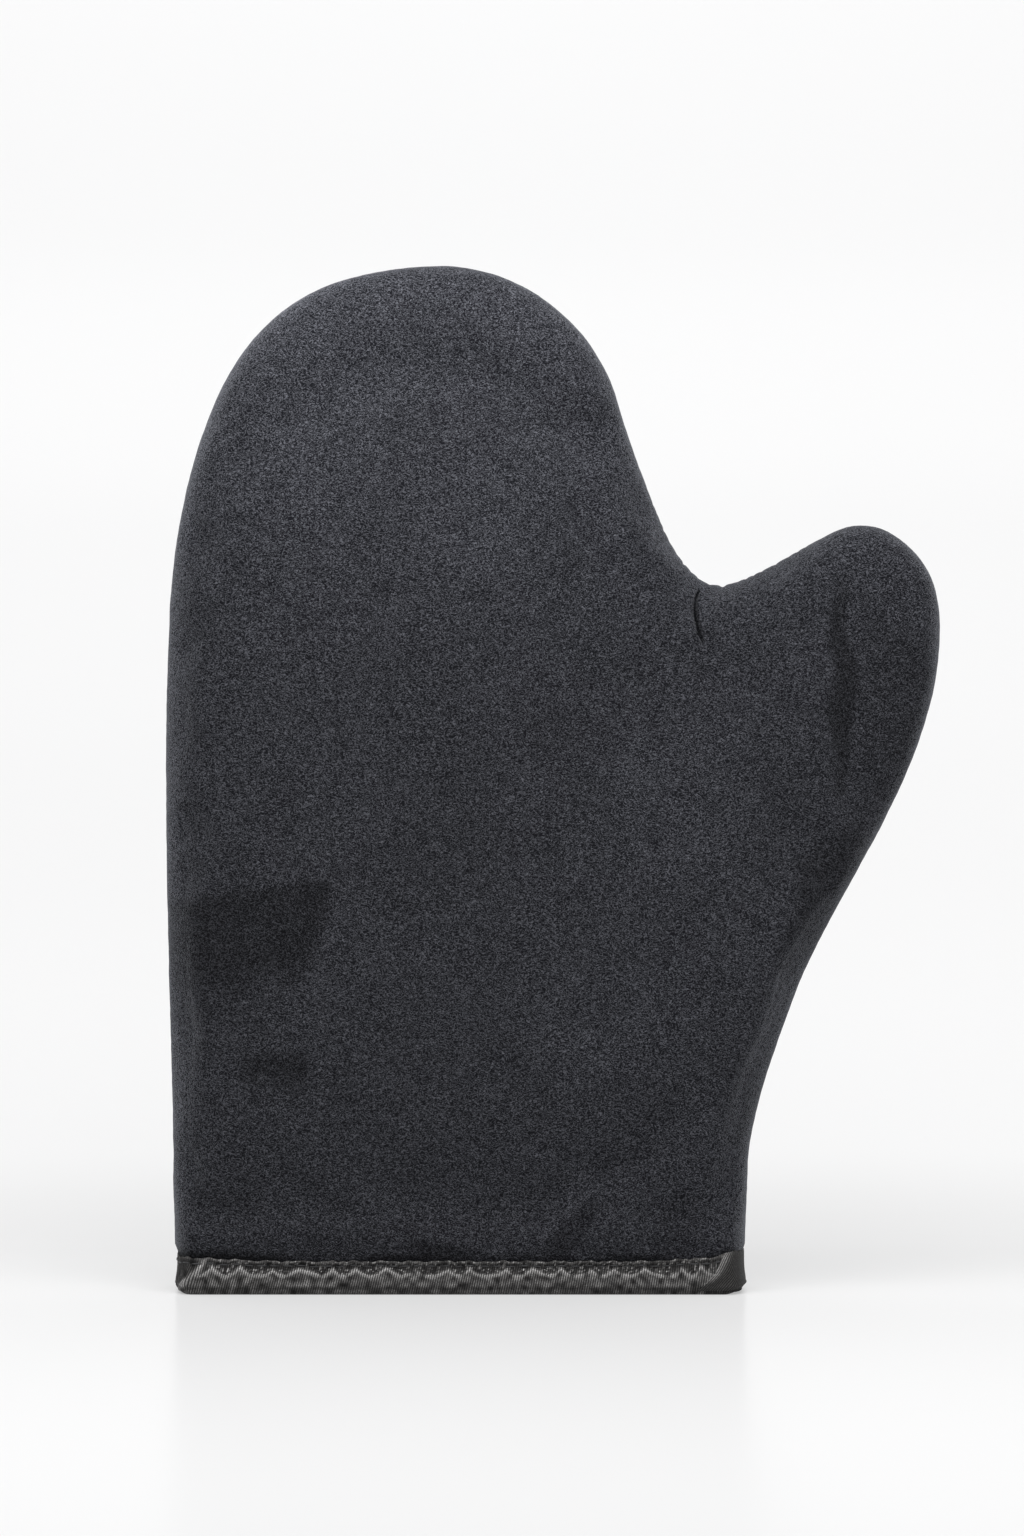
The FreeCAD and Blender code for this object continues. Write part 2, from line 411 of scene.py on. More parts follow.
def seam_pull(skin):
    """How far the seam draws the panel inwards in plan."""
    y = skin.depth
    loose = bumps(skin.along + 0j, 7 * MM, 21.0)
    patchy = smooth(bumps(skin.along + 0j, 3.7 * MM, 33.0), -0.25, 0.45)
    stitch = np.abs(np.cos(math.pi * (skin.along / STITCH_PITCH + 0.9 * loose))) ** 5 if skin.fine else 0.34
    fork = bell_mm(np.abs(skin.plan - FOLD_TOP - 2 * MM), 14)
    nick = (0.06 + 0.70 * patchy * fork) * MM * stitch * bell_mm(y, 6.5)
    wave = 0.14 * MM * loose * bell_mm(y, 6.0)
    groove = GROOVE * bell(y, GROOVE_WIDTH)
    bulge = -0.75 * MM * smooth_mm(skin.plan.imag, 34, 20) * bell_mm(y, 11)
    bulge *= smooth_mm(skin.plan.imag, 8.4, 10.6)
    return (groove + nick + wave + bulge) * (skin.from_edge < ROLL)


def layer_surface(skin, offset, side, settled):
    """The points of one of the laminate's surfaces, this far inside the mitt's outer surface."""
    squeeze = 1 - 0.30 * cuff_share(skin.plan.imag)
    points = skin.points() - skin.normal * (offset * squeeze)[:, None]
    pull = seam_pull(skin) * skin.inward
    points[:, 0] += pull.real
    points[:, 2] += pull.imag * smooth_mm(skin.plan.imag, 9, 14)
    points[:, 1] -= waves(skin, side)
    points += settled
    if side:
        points[:, 1] *= -1
    return points


# ---------------- meshes
def new_piece(name, points, faces, material):
    mesh = bpy.data.meshes.new(name)
    mesh.from_pydata(np.asarray(points).tolist(), [], [tuple(int(v) for v in face) for face in faces])
    if material:
        mesh.materials.append(material)
    mesh.shade_smooth()
    mesh.update()
    return add_object(name, mesh)


def shell(name, skin, layer, side, settled, material):
    """One layer of one panel as a closed solid: two skins, and the lip that turns in along the seam."""
    _, _, outer_offset, inner_offset, lip_out, lip_in = layer
    outer = layer_surface(skin, outer_offset, side, settled)
    inner = layer_surface(skin, inner_offset, side, settled)
    way = -1 if side == 0 else 1
    outer[:, 1] = way * np.maximum(way * outer[:, 1], lip_out)
    inner[:, 1] = way * np.maximum(way * inner[:, 1], lip_in)
    seam = skin.seam
    inwards = skin.inward[seam]
    z = skin.plan.imag[seam]
    reach = WALL + ALLOWANCE - (ALLOWANCE - 0.1 * MM) * smooth_mm(z, 16, 8)
    edge = skin.plan[seam] + inwards * reach
    edge.imag = np.maximum(edge.imag, CUFF_EDGE)
    lip_outer = np.stack([edge.real, np.full(len(edge), way * lip_out), edge.imag], 1)
    lip_inner = np.stack([edge.real, np.full(len(edge), way * lip_in), edge.imag], 1)
    n, m = len(outer), len(seam)
    points = np.concatenate([outer, inner, lip_outer, lip_inner])
    rows = [seam, 2 * n + np.arange(m), 2 * n + m + np.arange(m), n + seam]
    faces = list(skin.faces) + [tuple(n + v for v in reversed(face)) for face in skin.faces]
    for a, b in zip(rows, rows[1:]):
        faces += [(a[i + 1], a[i], b[i], b[i + 1]) for i in range(m - 1)]
    faces.append((rows[0][0], rows[3][0], rows[2][0], rows[1][0]))
    faces.append((rows[0][-1], rows[1][-1], rows[2][-1], rows[3][-1]))
    chain = [seam[0], *skin.cuff, seam[-1]]
    faces += [(a, b, n + b, n + a) for a, b in zip(chain, chain[1:])]
    if side:
        faces = [tuple(reversed(face)) for face in faces]
    return new_piece(name, points, faces, material)


# ---------------- material tools
def node_maker(tree):
    """A short way to add a node: its type, its settings, and a value or a link for each input."""

    def add(kind, settings=None, inputs=None):
        node = tree.nodes.new(kind)
        for key, value in (settings or {}).items():
            setattr(node, key, value)
        for key, value in (inputs or {}).items():
            if isinstance(value, bpy.types.NodeSocket):
                tree.links.new(value, node.inputs[key])
            else:
                node.inputs[key].default_value = value
        return node

    return add


def math_node(add, operation, first, second=0.0):
    return add("ShaderNodeMath", {"operation": operation}, {0: first, 1: second}).outputs[0]


def times(add, first, second):
    return math_node(add, "MULTIPLY", first, second)


def remap(add, value, low, high, to_low=0.0, to_high=1.0):
    settings = {"interpolation_type": "SMOOTHSTEP"}
    inputs = {"Value": value, "From Min": low, "From Max": high, "To Min": to_low, "To Max": to_high}
    return add("ShaderNodeMapRange", settings, inputs).outputs[0]


def mix_colour(add, factor, first, second, blend="MIX"):
    settings = {"data_type": "RGBA", "blend_type": blend}
    return add("ShaderNodeMix", settings, {0: factor, 6: first, 7: second}).outputs[2]


def noise_node(add, place, scale, detail, **more):
    inputs = {"Vector": place, "Scale": scale, "Detail": detail, **more}
    return add("ShaderNodeTexNoise", None, inputs).outputs


def attribute(add, name):
    return add("ShaderNodeAttribute", {"attribute_name": name}).outputs["Fac"]


def bump(add, height, strength, distance, invert=False):
    inputs = {"Strength": strength, "Distance": distance, "Height": height}
    return add("ShaderNodeBump", {"invert": invert}, inputs).outputs[0]


def set_inputs(node, **values):
    """Gives the node's inputs these values or links them to these sockets; underscores stand for spaces."""
    for key, value in values.items():
        socket = node.inputs[key.replace("_", " ")]
        if isinstance(value, bpy.types.NodeSocket):
            node.id_data.links.new(value, socket)
        else:
            socket.default_value = value


def add_sockets(tree, way, kind, values):
    """Adds sockets of this kind to a node group; a value of None leaves the default as it is."""
    for label, value in values.items():
        socket = tree.interface.new_socket(label, in_out=way, socket_type="NodeSocket" + kind)
        if value is not None:
            socket.default_value = value


def strands_group():
    """Short curly fibres: Shade is light on a fibre and dark between, Clumps varies over several fibres."""
    tree = bpy.data.node_groups.new("curly_strands", "ShaderNodeTree")
    add_sockets(tree, "INPUT", "Vector", {"Place": None})
    add_sockets(tree, "INPUT", "Float", {"Size": 0.8 * MM, "Sideways": 0.7, "Fineness": 0.16})
    add_sockets(tree, "OUTPUT", "Float", {"Shade": None, "Clumps": None})
    add = node_maker(tree)
    given = add("NodeGroupInput").outputs
    size = math_node(add, "DIVIDE", 1.0, given["Size"])
    stretch = add("ShaderNodeCombineXYZ", None, {0: given["Sideways"], 1: 1.0, 2: 1.0}).outputs[0]
    place = add("ShaderNodeVectorMath", {"operation": "MULTIPLY"}, {0: given["Place"], 1: stretch}).outputs[0]
    place = add("ShaderNodeVectorMath", {"operation": "SCALE"}, {0: place, 3: size}).outputs[0]
    warp = noise_node(add, place, 0.55, 1.0)["Color"]
    warp = add("ShaderNodeVectorMath", {"operation": "SCALE"}, {0: warp, 3: 2.2}).outputs[0]
    curled = add("ShaderNodeVectorMath", {"operation": "ADD"}, {0: place, 1: warp}).outputs[0]
    field = noise_node(add, curled, 1.0, 0.6)["Fac"]
    away = math_node(add, "ABSOLUTE", math_node(add, "SUBTRACT", field, 0.5))
    strand = remap(add, away, given["Fineness"], 0.0)
    height = noise_node(add, place, 1.3, 1.5, Roughness=0.6)["Fac"]
    height = remap(add, height, 0.30, 0.70, 0.25, 1.0)
    clumps = noise_node(add, place, 0.16, 2.0, Roughness=0.5)["Fac"]
    set_inputs(add("NodeGroupOutput"), Shade=times(add, strand, height), Clumps=remap(add, clumps, 0.3, 0.7))
    return tree


def new_material(name):
    """A node material, its tree's node maker, its shader, and the places on the piece."""
    material = bpy.data.materials.new(name)
    material.use_nodes = True
    add = node_maker(material.node_tree)
    place = add("ShaderNodeTexCoord").outputs["Object"]
    return material, add, material.node_tree.nodes["Principled BSDF"], place


STRANDS = strands_group()


def strands(add, place, **values):
    node = add("ShaderNodeGroup", {"node_tree": STRANDS})
    set_inputs(node, Place=place, **values)
    return node.outputs


# ---------------- materials
def velour():
    """Short charcoal pile: curly strands, clumps and rare bright lint, multiplied by an attribute that holds
    the pile's uneven tone and painted light and shade.
    """
    material, add, shader, place = new_material("velour")
    pile = strands(add, place, Size=0.38 * MM, Sideways=0.70, Fineness=0.12)
    colour = mix_colour(add, pile["Shade"], (0.0070, 0.0073, 0.0095, 1), (0.108, 0.1110, 0.127, 1))
    # The attribute paints highlights on the rim and towards the fingertips, and shade above the tape, in the
    # crease, along the seam and at the thumb.
    nap = attribute(add, "nap")
    level = times(add, remap(add, pile["Clumps"], 0, 1, 0.93, 1.07), nap)
    level = add("ShaderNodeCombineColor", None, {0: level, 1: level, 2: level}).outputs[0]
    colour = mix_colour(add, 1.0, colour, level, "MULTIPLY")
    cells = add("ShaderNodeTexVoronoi", {"feature": "F1"}, {"Vector": place, "Scale": 160.0})
    rare = remap(add, cells.outputs["Color"], 0.90, 0.91)
    speck = remap(add, cells.outputs["Distance"], 0.075, 0.03)
    colour = mix_colour(add, times(add, times(add, rare, speck), 0.55), colour, (0.30, 0.31, 0.34, 1))
    set_inputs(shader, Base_Color=colour, Normal=bump(add, pile["Shade"], 0.55, 0.25 * MM))
    set_inputs(shader, Roughness=0.95, Specular_IOR_Level=0.12, Sheen_Roughness=0.30)
    # Where the attribute paints deep shade, the sheen fades out as well.
    sheen = remap(add, nap, 0.12, 0.4, 0.0, 0.45)
    set_inputs(shader, Sheen_Weight=sheen, Sheen_Tint=(0.62, 0.64, 0.70, 1))
    return material


def foam():
    """Open-cell foam at the cut edge and inside the laminate."""
    material, add, shader, place = new_material("foam")
    cells = add("ShaderNodeTexVoronoi", {"feature": "DISTANCE_TO_EDGE"}, {"Vector": place, "Scale": 1700.0})
    wall = remap(add, cells.outputs["Distance"], 0.0, 0.12)
    colour = mix_colour(add, wall, (0.085, 0.085, 0.09, 1), (0.035, 0.035, 0.038, 1))
    set_inputs(shader, Base_Color=colour, Normal=bump(add, wall, 0.6, 0.2 * MM, True))
    set_inputs(shader, Roughness=0.9, Specular_IOR_Level=0.2)
    return material


def barrier_film():
    """Thin grey film with a faint haze."""
    material, add, shader, place = new_material("barrier_film")
    haze = noise_node(add, place, 90.0, 3.0)["Fac"]
    colour = mix_colour(add, haze, (0.07, 0.07, 0.078, 1), (0.12, 0.12, 0.13, 1))
    roughness = remap(add, haze, 0.3, 0.7, 0.28, 0.45)
    set_inputs(shader, Base_Color=colour, Roughness=roughness, Specular_IOR_Level=0.5)
    return material


def lining():
    """Fine black knit with upright ribs of loops."""
    material, add, shader, place = new_material("lining")
    parts = add("ShaderNodeSeparateXYZ", None, {0: place}).outputs
    columns = math_node(add, "SINE", times(add, parts["X"], 2 * math.pi / (0.9 * MM)))
    rows = math_node(add, "SINE", times(add, parts["Z"], 2 * math.pi / (0.6 * MM)))
    loops = remap(add, times(add, columns, rows), -1, 1, 0, 0.7)
    fuzz = strands(add, place, Size=0.5 * MM, Sideways=0.9, Fineness=0.2)["Shade"]
    height = math_node(add, "ADD", loops, times(add, fuzz, 0.3))
    colour = mix_colour(add, height, (0.010, 0.010, 0.012, 1), (0.050, 0.050, 0.057, 1))
    set_inputs(shader, Base_Color=colour, Normal=bump(add, height, 0.5, 0.2 * MM))
    set_inputs(shader, Roughness=0.85, Specular_IOR_Level=0.2)
    return material


def satin():
    """Ribbed satin: fine lengthwise threads over the ribs of the mesh, with painted shade between the ribs
    and painted highlights and shade from the tape's light attribute; glossier on the ribs' tops and where
    highlights are painted.
    """
    material, add, shader, place = new_material("satin_tape")
    yarn = strands(add, place, Size=0.34 * MM, Sideways=1.0, Fineness=0.22)["Shade"]
    # The rib attribute paints shade into the grooves between the ribs; the light attribute paints highlights
    # and shade.
    rib = remap(add, attribute(add, "rib"), 0.05, 0.95, 0.12, 1.0)
    shade = times(add, rib, remap(add, yarn, 0.0, 1.0, 0.55, 1.1))
    shade = times(add, shade, attribute(add, "shine"))
    colour = mix_colour(add, shade, (0.0060, 0.0058, 0.0060, 1), (0.305, 0.296, 0.291, 1))
    set_inputs(shader, Base_Color=colour, Normal=bump(add, yarn, 0.35, 0.08 * MM))
    set_inputs(shader, Roughness=remap(add, shade, 0.0, 0.9, 0.60, 0.33))
    set_inputs(shader, Specular_IOR_Level=remap(add, shade, 0.15, 0.9, 0.04, 0.9))
    return material


def sewing_thread():
    """Twisted polyester thread."""
    material, add, shader, place = new_material("thread")
    ply = noise_node(add, place, 3200.0, 1.0)["Fac"]
    colour = mix_colour(add, ply, (0.018, 0.018, 0.020, 1), (0.065, 0.065, 0.068, 1))
    set_inputs(shader, Base_Color=colour, Normal=bump(add, ply, 0.5, 0.06 * MM))
    set_inputs(shader, Roughness=0.55, Specular_IOR_Level=0.4)
    return material


def stage_paint():
    """Pale paint that gives off some light; its gloss fades with distance, and its back is clear."""
    material, add, shader, place = new_material("studio_floor")
    parts = add("ShaderNodeSeparateXYZ", None, {0: place}).outputs
    upright = remap(add, parts["Z"], 0.0, 0.018)
    colour = mix_colour(add, upright, (0.42, 0.42, 0.422, 1), (0.485, 0.485, 0.487, 1))
    set_inputs(shader, Base_Color=colour, Roughness=0.5, Specular_IOR_Level=0.0)
    gloss = remap(add, parts["Y"], -0.40, -0.02, 0.12, 0.30)
    set_inputs(shader, Coat_Weight=gloss, Coat_Roughness=0.20, Coat_IOR=1.35)
    set_inputs(shader, Emission_Color=(1, 1, 1, 1), Emission_Strength=0.445)
    facing = add("ShaderNodeNewGeometry").outputs["Backfacing"]
    clear = add("ShaderNodeBsdfTransparent").outputs[0]
    seen = add("ShaderNodeMixShader", None, {0: facing, 1: shader.outputs[0], 2: clear}).outputs[0]
    set_inputs(material.node_tree.nodes["Material Output"], Surface=seen)
    return material


def add_stage():
    """A pale lit floor that sweeps up into the backdrop; only its inner side shows."""
    radius, far, near, wall, half_width, facets = 0.30, 0.10, -3.0, 1.6, 3.0, 24
    profile = [(near, 0.0), (-1.0, 0.0), (0.0, 0.0), (far, 0.0)]
    for k in range(1, facets + 1):
        angle = math.radians(90 * k / facets)
        profile.append((far + radius * math.sin(angle), radius * (1 - math.cos(angle))))
    profile.append((far + radius, wall))
    points = [(x, y, z) for y, z in profile for x in (-half_width, half_width)]
    faces = [(2 * k, 2 * k + 1, 2 * k + 3, 2 * k + 2) for k in range(len(profile) - 1)]
    new_piece("studio_floor", points, faces, stage_paint())


# ---------------- the velour's brightness: the pile's uneven tone, with painted light and shade
# Patches where the pile looks lighter or darker: centre, half width, half height, tilt, and how bright the
# pile looks there.
PILE_TONE_AND_SHADE_PATCHES = [
    (-72.0, 24.0, 9.0, 9.0, 0, 0.86),
    (-45.0, 12.5, 34.0, 4.5, 0, 0.86),
    (-24.0, 9.6, 8.0, 2.4, 0, 0.50),
    (4.0, 14.0, 9.0, 2.6, 42, 0.66),
    (28.0, 15.0, 5.0, 7.0, -10, 0.76),
    # Painted shade: the thumb's fold, and the thumb's right side, turned away from the light.
    (64.5, 136.0, 2.6, 25.0, 0, 0.52),
    (76.0, 130.0, 9.0, 24.0, 0, 0.78),
    (61.0, 90.0, 19.0, 7.5, 63, 0.62),
    (46.5, 41.0, 10.0, 4.0, 75, 0.76),
    (-30.0, 95.0, 26.0, 9.0, 12, 0.93),
    (30.0, 112.0, 17.0, 18.0, 0, 1.12),
    (14.0, 60.0, 22.0, 12.0, 10, 1.16),
    (35.0, 30.0, 9.0, 18.0, 0, 1.08),
    (-20.0, 173.0, 12.0, 14.0, 0, 1.12),
    (-12.0, 196.0, 40.0, 5.0, 6, 0.90),
    (2.0, 126.0, 9.0, 4.5, 0, 0.88),
]

# Wiped patches with a crisp upper edge: left and right end, height and slope of that edge, how far they
# reach down, the slope of their lower right side, and how bright they look.
WIPED = [
    (-92.0, -48.8, 87.0, 0.152, 31.0, 1.9, 0.54),
    (-71.0, -53.0, 54.8, -0.05, 11.0, 0.5, 0.58),
    (-86.0, -62.0, 64.0, 0.10, 16.0, 0.9, 0.86),
]


def tone_and_painted_light_level(points, edge_share, side):
    """How bright the pile looks at each point.

    It is lighter towards the fingertips and on the rolled rim, most on the left: both are painted light. It
    is darker above the tape (a painted shadow), in the crease and in the seam's groove (painted shade), and
    in most of the listed and wiped patches; the patches on the thumb's fold and its right side are painted
    shade too.
    """
    x, z = points[:, 0] / MM, points[:, 2] / MM
    place = points[:, 0] + 1j * points[:, 2]
    drift = 3.2 * bumps(place, 13 * MM, 40.0 + side) + 1j * 3.2 * bumps(place, 13 * MM, 50.0 + side)
    level = 1 + 0.10 * bumps(place, 36 * MM, 60.0 + side) + 0.06 * bumps(place, 9 * MM, 70.0 + side)
    for cx, cz, width, height, tilt, bright in PILE_TONE_AND_SHADE_PATCHES:
        turned = (x + 1j * z + drift - (cx + 1j * cz)) * cmath.exp(-1j * math.radians(tilt))
        reach = np.hypot(turned.real / width, turned.imag / height)
        level *= 1 - (1 - bright) * smooth(reach, 1.25, 0.62) * (1 if side == 0 else 0.6)
    x, z = x + 0.6 * drift.real, z + 0.5 * drift.imag
    for left, right, top, slope, reach, side_slope, bright in WIPED:
        edge = top + slope * (x - left)
        corner = top + slope * (right - left) - 9
        mask = smooth(x, left - 1, left + 2.5) * smooth(x, right + 0.5, right - 2)
        mask *= smooth(edge - z, -0.5, 1.4)
        mask *= smooth(edge - z, reach, 0.48 * reach) * smooth(z - corner - side_slope * (x - right), -4, 4)
        level *= 1 - (1 - bright) * mask * smooth(edge_share, 0.1, 0.6) * (1 if side == 0 else 0)
    # Painted highlight on the rolled rim, stronger on the left side, where the light comes from.
    rim = smooth(edge_share, 0.93, 0.55) * smooth(z, 8, 20)
    level *= 1 + rim * (0.42 * smooth(x, -20, -60) + 0.10)
    # Painted shadow along the velour just above the tape's top edge.
    above_tape = z - 7.4 - 0.8 * smooth(x, -58, -84) - 1.3 * smooth(x, 30, 41) * (side == 0)
    level *= 1 - 0.80 * smooth(above_tape, 1.9, 0.1)
    # Painted shade in the crease under the fork.
    beside, share = beside_curve(place, CREASE)
    level *= 1 - 0.75 * bell(beside, CREASE_WIDTH) * smooth(share, 0.0, 0.2) * smooth(share, 1.0, 0.8)
    # Painted shade in the seam's groove, where the panels dive in.
    level *= 0.12 + 0.88 * smooth_mm(np.abs(points[:, 1]), 0.2, 1.2)
    # Painted light: the pile is made lighter towards the fingertips and darker towards the cuff, as light
    # falls from above.
    return level * (0.92 + 0.08 * smooth(z, 20, 120) + 0.76 * smooth(z, 120, 240))


def store(piece, name, values):
    attribute = piece.data.attributes.new(name, "FLOAT", "POINT")
    attribute.data.foreach_set("value", np.asarray(values, np.float32))


# ---------------- settling, by cloth simulation
SETTLE_STEP = 4 * MM
SETTLE_FRAMES = 20
SETTLE_CAP = 2.2 * MM


def settle(skin):
    """Settles both panels under a little air pressure; returns how each point of front and back moved."""
    front = layer_surface(skin, 0.0, 0, 0.0)
    back = layer_surface(skin, 0.0, 1, 0.0)
    count = len(front)
    match = np.arange(count) + count
    match[skin.seam] = skin.seam
    front[skin.seam, 1] = 0
    faces = list(skin.faces) + [tuple(int(match[v]) for v in reversed(face)) for face in skin.faces]
    sim = new_piece("settling_cloth", np.concatenate([front, back]), faces, None)
    held = sim.vertex_groups.new(name="held")
    firm = [v for v in range(count) if skin.turn_share[v] < 0.3 or skin.plan[v].imag < 14 * MM]
    held.add([int(v) for v in firm] + [int(match[v]) for v in firm], 1.0, "REPLACE")
    cloth = sim.modifiers.new("cloth", "CLOTH")
    settings = cloth.settings
    settings.quality = 5
    settings.mass = 0.25
    settings.tension_stiffness = settings.compression_stiffness = 12
    settings.bending_stiffness = 1.2
    settings.shrink_min = -0.022
    settings.use_pressure = True
    settings.uniform_pressure_force = 0.9
    settings.vertex_group_mass = "held"
    settings.effector_weights.gravity = 0
    cloth.point_cache.frame_end = SETTLE_FRAMES
    for step in range(1, SETTLE_FRAMES + 1):
        bpy.context.scene.frame_set(step)
    moved = sim.evaluated_get(bpy.context.evaluated_depsgraph_get())
    after = np.array([v.co for v in moved.data.vertices])
    bpy.context.scene.frame_set(1)
    bpy.data.objects.remove(sim)
    shift = [after[:count] - front, (after[match] - back) * (1, -1, 1)]
    for part in shift:
        length = np.linalg.norm(part, axis=1)[:, None]
        part *= np.minimum(1, SETTLE_CAP / np.maximum(length, TINY))
    return shift


def carry(shift, coarse, target):
    """The settling of the coarse skin, carried to another skin's points."""
    tree = kdtree.KDTree(len(coarse.plan))
    for k, p in enumerate(coarse.plan):
        tree.insert((p.real, p.imag, 0), k)
    tree.balance()
    carried = np.zeros((len(target.plan), 3))
    for k, p in enumerate(target.plan):
        near = tree.find_n((p.real, p.imag, 0), 6)
        weights = np.array([math.exp(-((gap / (0.8 * SETTLE_STEP)) ** 2)) + TINY for _, _, gap in near])
        carried[k] = (shift[[i for _, i, _ in near]] * weights[:, None]).sum(0) / weights.sum()
    return carried * smooth(target.turn_share, 0.2, 0.9)[:, None]


# ---------------- cuff binding
RIB = 0.52 * MM  # each rib is one column of raised points and one of sunken points
RIB_HEIGHT = 0.045 * MM
RIB_SLANT = 0.22
SCALLOP = 6.4 * MM
TAPE_STITCH = 6.4 * MM  # height of the stitch line
LAP_WRAP = 4 * MM  # how far the lap goes round the thumb side
LAP_START = 18.5 * MM  # its slanted edge on the front, measured along the cuff from the thumb side
LAP_COLUMNS = 90

# The folded tape's section, outer skin first: how far outside the laminate, and height, in millimetres.
SECTION_STEP = 0.26
TAPE_SECTION = [
    (0.10, 7.10), (0.26, 7.50), (0.60, 7.46), (0.66, 7.05), (0.30, 6.55), (0.26, 6.20), (0.60, 5.70),
    (0.92, 5.00), (1.04, 4.00), (1.06, 2.90), (1.02, 2.10), (0.80, 1.72), (0.50, 1.50), (0.46, 0.90),
    (0.20, 0.30), (-0.40, 0.03), (-1.50, 0.00), (-2.50, 0.06), (-3.15, 0.50), (-3.35, 1.60), (-3.35, 3.60),
    (-3.30, 5.60), (-3.25, 6.90), (-3.10, 7.40), (-2.86, 7.40), (-2.84, 6.70), (-2.84, 4.50), (-2.84, 1.60),
    (-2.60, 0.62), (-1.40, 0.36), (-0.30, 0.46), (0.08, 1.30), (0.10, 3.50), (0.10, 6.00),
]


def closed_curve(points, step):
    """A smooth closed line through these points, with steps of about this length on its outer side."""
    points = np.array(points)
    result = []
    for k in range(len(points)):
        a, b, c, d = (points[(k + j) % len(points)] for j in (-1, 0, 1, 2))
        count = max(1, round(abs(c - b) / (step if b.real > 0.15 else 3 * step)))
        for t in np.arange(count) / count:
            curved = (2 * a - 5 * b + 4 * c - d) * t**2 + (3 * b - a - 3 * c + d) * t**3
            result.append(b + ((c - a) * t + curved) / 2)
    return np.array(result)


class CuffRing:
    """The laminate's outer line round the cuff from above, as x + 1j * y, from the thumb side."""

    def __init__(self):
        self.low, _ = self.line(0.0, 1200)
        self.high, self.length = self.line(TAPE_TOP, 1200)
        way = np.roll(self.low, -1) - np.roll(self.low, 1)
        out = way / np.abs(way) * 1j
        for _ in range(8):
            out = np.roll(out, 1) + 2 * out + np.roll(out, -1)
        self.out = out / np.abs(out)

    def line(self, z, count):
        turn = np.linspace(0, math.pi / 2, 60)
        roll = CUFF_ROLL[0] + (CUFF_ROLL[1] - CUFF_ROLL[0]) * z / TAPE_TOP
        x = roll * (1 - np.cos(turn) ** (2 / ROUNDNESS))
        y = HALF_DEPTH * np.sin(turn) ** (2 / ROUNDNESS)
        right, left = CUFF_RIGHT - x - 1j * y, CUFF_LEFT + x - 1j * y
        front = np.concatenate([right, left[::-1]])
        whole = np.concatenate([front, np.conj(front)[-2:0:-1]])
        whole = np.append(whole, whole[0])
        steps = np.concatenate([[0], np.cumsum(np.abs(np.diff(whole)))])
        places = np.linspace(0, steps[-1], count, endpoint=False)
        return np.interp(places, steps, whole.real) + 1j * np.interp(places, steps, whole.imag), steps[-1]

    def at(self, values, along):
        """These values of the ring's points, read at distances along it."""
        place = along / self.length * len(values)
        whole = np.floor(place).astype(int)
        part = place - whole
        return values[whole % len(values)] * (1 - part) + values[(whole + 1) % len(values)] * part

    def points(self, along, offset, z):
        """Points at these distances along the line, this far outside it, at these heights."""
        low, high, out = (self.at(values, along) for values in (self.low, self.high, self.out))
        place = low + (high - low) * np.clip(z / TAPE_TOP, 0, 1.2) + out * offset
        return np.stack([place.real, place.imag, z + 0 * along], 1)


def pucker_count(ring, along):
    """A count of the puckers along the tape, at uneven distances."""
    even = along / ring.length * round(ring.length / SCALLOP)
    turn = 2 * math.pi * along / ring.length
    return even + 0.055 * sum(np.sin(k * turn + k * k) for k in (7, 11, 16, 19, 23, 29))


def end_folds(ring, along, z):
    """How far a place on the front is past the right and the left slanted end fold, in metres."""
    place = ring.at(ring.high, along)
    front = place.imag < 2 * MM
    right = np.where(front, place.real - (CUFF_RIGHT - 6.9 * MM) - (z - 3.5 * MM), -1)
    left = np.where(front, (CUFF_LEFT + 1.7 * MM) + 0.88 * (z - 1.1 * MM) - place.real, -1)
    return right, left


